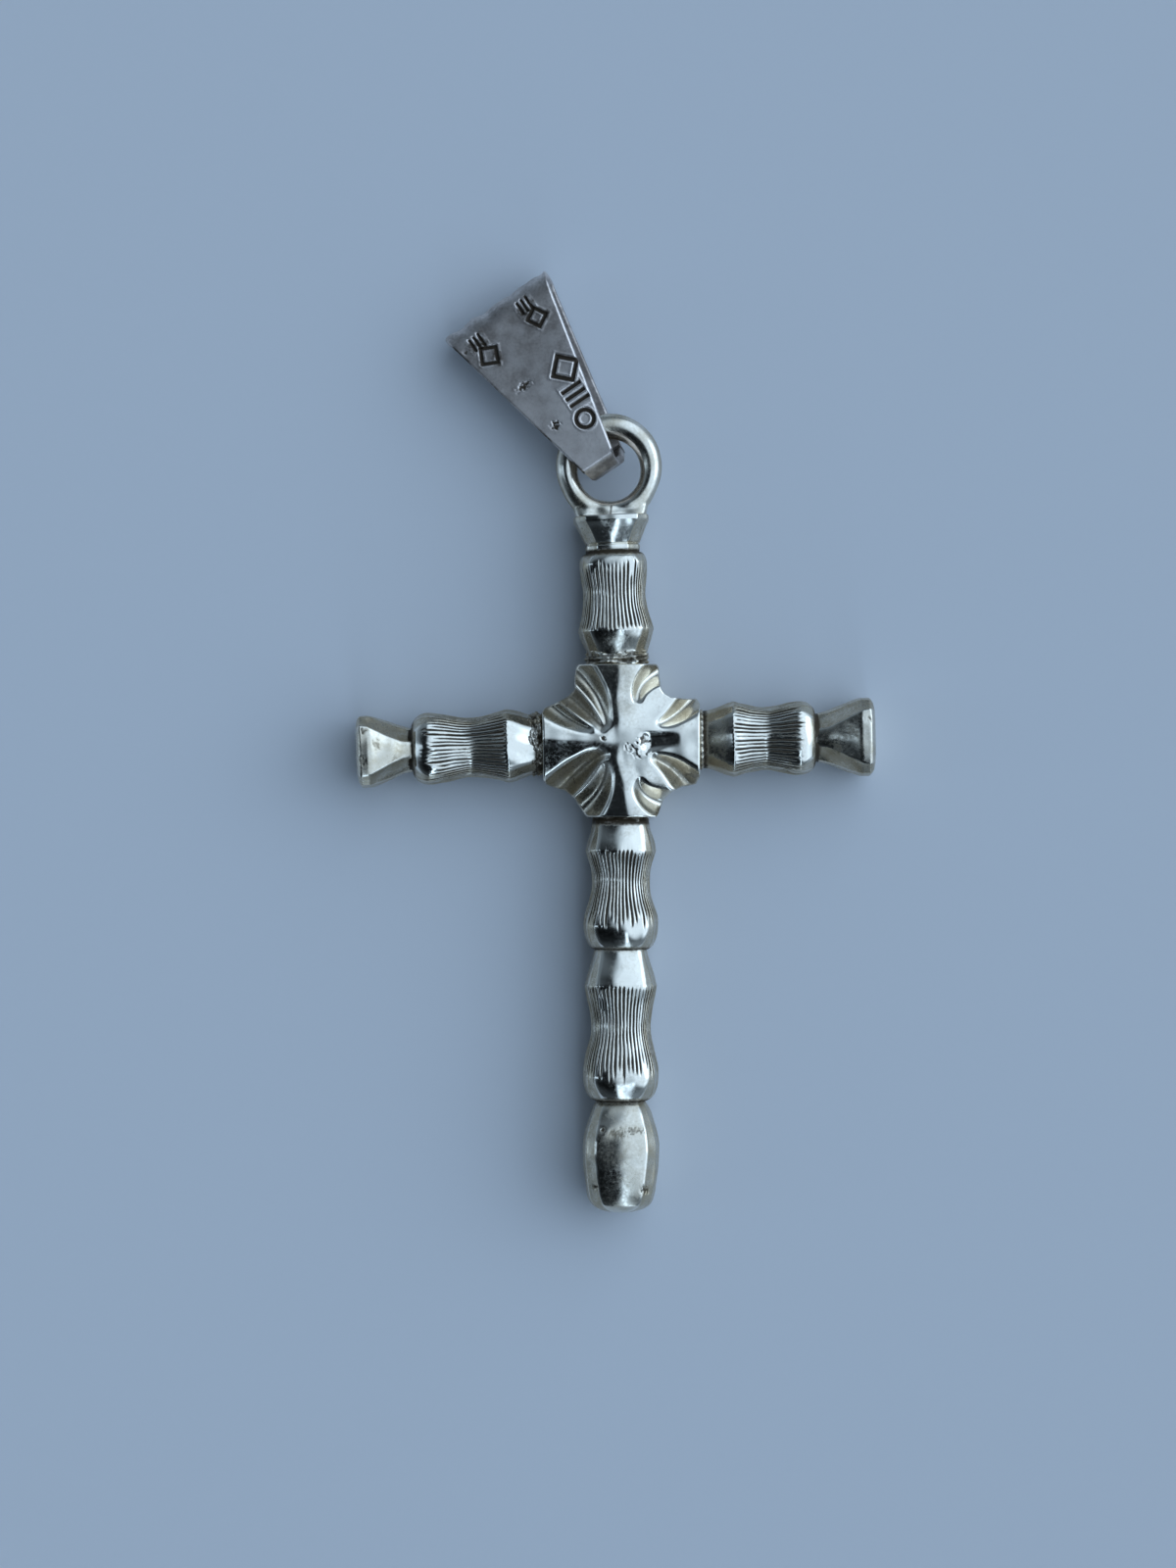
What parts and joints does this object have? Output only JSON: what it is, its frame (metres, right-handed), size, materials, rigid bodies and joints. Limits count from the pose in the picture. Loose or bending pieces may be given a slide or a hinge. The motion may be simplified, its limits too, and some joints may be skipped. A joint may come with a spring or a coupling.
{
  "type": "cross pendant",
  "caption": "Silver cross pendant of waisted square rods round a fluted boss, with a fixed ring and a folded bail for a neck chain.",
  "frame": {"origin": "centre of the boss's flat back, on the surface that the pendant lies on", "axes": "+Z out of the front, +Y up the upright towards the ring, +X to the right as seen from the front"},
  "size_m": [0.0264, 0.048, 0.004],
  "materials": {
    "cross_silver": "polished sterling silver, worn satin on the faces, with engraved lines and dark brown tarnish in every recess",
    "bail_silver": "rubbed sterling silver with a matt grey face, small dents and dark punch marks"
  },
  "bodies": {
    "root": {"cross": "cross_silver", "bail": "bail_silver"}
  },
  "joints": []
}
